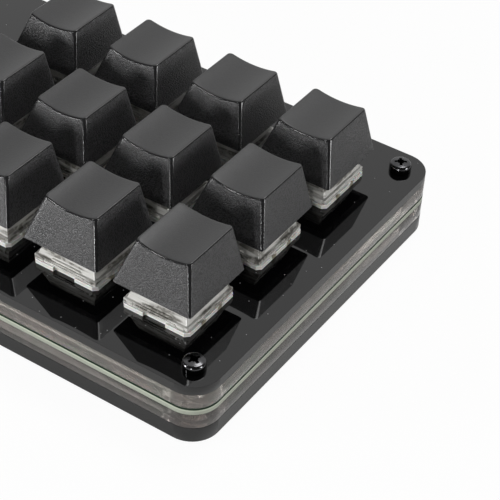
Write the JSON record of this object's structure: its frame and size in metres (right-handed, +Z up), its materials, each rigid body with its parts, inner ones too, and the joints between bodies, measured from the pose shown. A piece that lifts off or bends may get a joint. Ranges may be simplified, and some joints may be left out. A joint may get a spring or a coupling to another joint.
{
  "type": "macro keypad with knobs",
  "caption": "Small programmable keypad: mechanical keys and two push-and-turn knobs on a bolted stack of black and clear acrylic sheets",
  "frame": {"origin": "middle of the case's footprint, on the surface that the rubber feet stand on", "axes": "+X to the user's right along the long side, +Y away from the user towards the back edge, +Z up"},
  "size_m": [0.1254, 0.086, 0.0324],
  "materials": {
    "plates": "mirror-smooth black acrylic sheet",
    "clear_sheets": "clear acrylic with fine cut edges",
    "board": "dark green circuit board",
    "feet": "soft black rubber",
    "screws": "black plated steel, glossy",
    "inserts": "bright turned metal",
    "housings": "milky translucent nylon",
    "contacts": "thin sprung brass",
    "lamps": "white lamp with a clear lens",
    "metal_cases": "bright pressed and turned steel",
    "black_moulding": "black moulded plastic",
    "keycaps": "black plastic with a fine spark grain",
    "stems": "smooth slippery plastic",
    "springs": "bright spring wire",
    "plungers": "natural nylon",
    "knobs": "black plastic, fluted grip"
  },
  "bodies": {
    "case": {"bottom_plate": "plates", "lower_spacer": "clear_sheets", "circuit_board": "board", "upper_spacer": "clear_sheets", "top_plate": "plates", "rubber_feet": "feet", "top_screws": "screws", "threaded_inserts": "inserts", "bottom_screws": "screws", "switch_lower_housings": "housings", "switch_upper_housings": "housings", "switch_contacts": "contacts", "key_lamps": "lamps", "usb_socket": "metal_cases", "controller_chip": "black_moulding", "board_components": "black_moulding", "encoder_cases": "metal_cases", "encoder_bases": "black_moulding", "key_spring_1": "springs", "key_spring_2": "springs", "key_spring_3": "springs", "key_spring_4": "springs", "key_spring_5": "springs", "key_spring_6": "springs", "key_spring_7": "springs", "key_spring_8": "springs", "key_spring_9": "springs", "key_spring_10": "springs", "key_spring_11": "springs", "key_spring_12": "springs"},
    "key_1": {"keycap_1": "keycaps", "stem_1": "stems"},
    "key_2": {"keycap_2": "keycaps", "stem_2": "stems"},
    "key_3": {"keycap_3": "keycaps", "stem_3": "stems"},
    "key_4": {"keycap_4": "keycaps", "stem_4": "stems"},
    "key_5": {"keycap_5": "keycaps", "stem_5": "stems"},
    "key_6": {"keycap_6": "keycaps", "stem_6": "stems"},
    "key_7": {"keycap_7": "keycaps", "stem_7": "stems"},
    "key_8": {"keycap_8": "keycaps", "stem_8": "stems"},
    "key_9": {"keycap_9": "keycaps", "stem_9": "stems"},
    "key_10": {"keycap_10": "keycaps", "stem_10": "stems"},
    "key_11": {"keycap_11": "keycaps", "stem_11": "stems"},
    "key_12": {"keycap_12": "keycaps", "stem_12": "stems"},
    "knob_push_front": {"encoder_plunger_front": "plungers"},
    "knob_turn_front": {"encoder_shaft_front": "metal_cases", "knob_front": "knobs"},
    "knob_push_back": {"encoder_plunger_back": "plungers"},
    "knob_turn_back": {"encoder_shaft_back": "metal_cases", "knob_back": "knobs"}
  },
  "joints": [
    {"name": "key_1_press", "type": "slide", "parent": "case", "child": "key_1", "axis": [0, 0, -1], "range_m": [0, 0.004], "stiffness_N_per_m": 70, "springref_m": -0.0055, "deforming": ["key_spring_1"]},
    {"name": "key_2_press", "type": "slide", "parent": "case", "child": "key_2", "axis": [0, 0, -1], "range_m": [0, 0.004], "stiffness_N_per_m": 70, "springref_m": -0.0055, "deforming": ["key_spring_2"]},
    {"name": "key_3_press", "type": "slide", "parent": "case", "child": "key_3", "axis": [0, 0, -1], "range_m": [0, 0.004], "stiffness_N_per_m": 70, "springref_m": -0.0055, "deforming": ["key_spring_3"]},
    {"name": "key_4_press", "type": "slide", "parent": "case", "child": "key_4", "axis": [0, 0, -1], "range_m": [0, 0.004], "stiffness_N_per_m": 70, "springref_m": -0.0055, "deforming": ["key_spring_4"]},
    {"name": "key_5_press", "type": "slide", "parent": "case", "child": "key_5", "axis": [0, 0, -1], "range_m": [0, 0.004], "stiffness_N_per_m": 70, "springref_m": -0.0055, "deforming": ["key_spring_5"]},
    {"name": "key_6_press", "type": "slide", "parent": "case", "child": "key_6", "axis": [0, 0, -1], "range_m": [0, 0.004], "stiffness_N_per_m": 70, "springref_m": -0.0055, "deforming": ["key_spring_6"]},
    {"name": "key_7_press", "type": "slide", "parent": "case", "child": "key_7", "axis": [0, 0, -1], "range_m": [0, 0.004], "stiffness_N_per_m": 70, "springref_m": -0.0055, "deforming": ["key_spring_7"]},
    {"name": "key_8_press", "type": "slide", "parent": "case", "child": "key_8", "axis": [0, 0, -1], "range_m": [0, 0.004], "stiffness_N_per_m": 70, "springref_m": -0.0055, "deforming": ["key_spring_8"]},
    {"name": "key_9_press", "type": "slide", "parent": "case", "child": "key_9", "axis": [0, 0, -1], "range_m": [0, 0.004], "stiffness_N_per_m": 70, "springref_m": -0.0055, "deforming": ["key_spring_9"]},
    {"name": "key_10_press", "type": "slide", "parent": "case", "child": "key_10", "axis": [0, 0, -1], "range_m": [0, 0.004], "stiffness_N_per_m": 70, "springref_m": -0.0055, "deforming": ["key_spring_10"]},
    {"name": "key_11_press", "type": "slide", "parent": "case", "child": "key_11", "axis": [0, 0, -1], "range_m": [0, 0.004], "stiffness_N_per_m": 70, "springref_m": -0.0055, "deforming": ["key_spring_11"]},
    {"name": "key_12_press", "type": "slide", "parent": "case", "child": "key_12", "axis": [0, 0, -1], "range_m": [0, 0.004], "stiffness_N_per_m": 70, "springref_m": -0.0055, "deforming": ["key_spring_12"]},
    {"name": "knob_front_push", "type": "slide", "parent": "case", "child": "knob_push_front", "axis": [0, 0, -1], "range_m": [0, 0.0005], "stiffness_N_per_m": 1600, "springref_m": -0.0012},
    {"name": "knob_front_turn", "type": "hinge", "parent": "knob_push_front", "child": "knob_turn_front", "pos_m": [-0.04445, -0.0123, 0.0117], "axis": [0, 0, 1], "continuous": true},
    {"name": "knob_back_push", "type": "slide", "parent": "case", "child": "knob_push_back", "axis": [0, 0, -1], "range_m": [0, 0.0005], "stiffness_N_per_m": 1600, "springref_m": -0.0012},
    {"name": "knob_back_turn", "type": "hinge", "parent": "knob_push_back", "child": "knob_turn_back", "pos_m": [-0.04445, 0.0116, 0.0117], "axis": [0, 0, 1], "continuous": true}
  ]
}
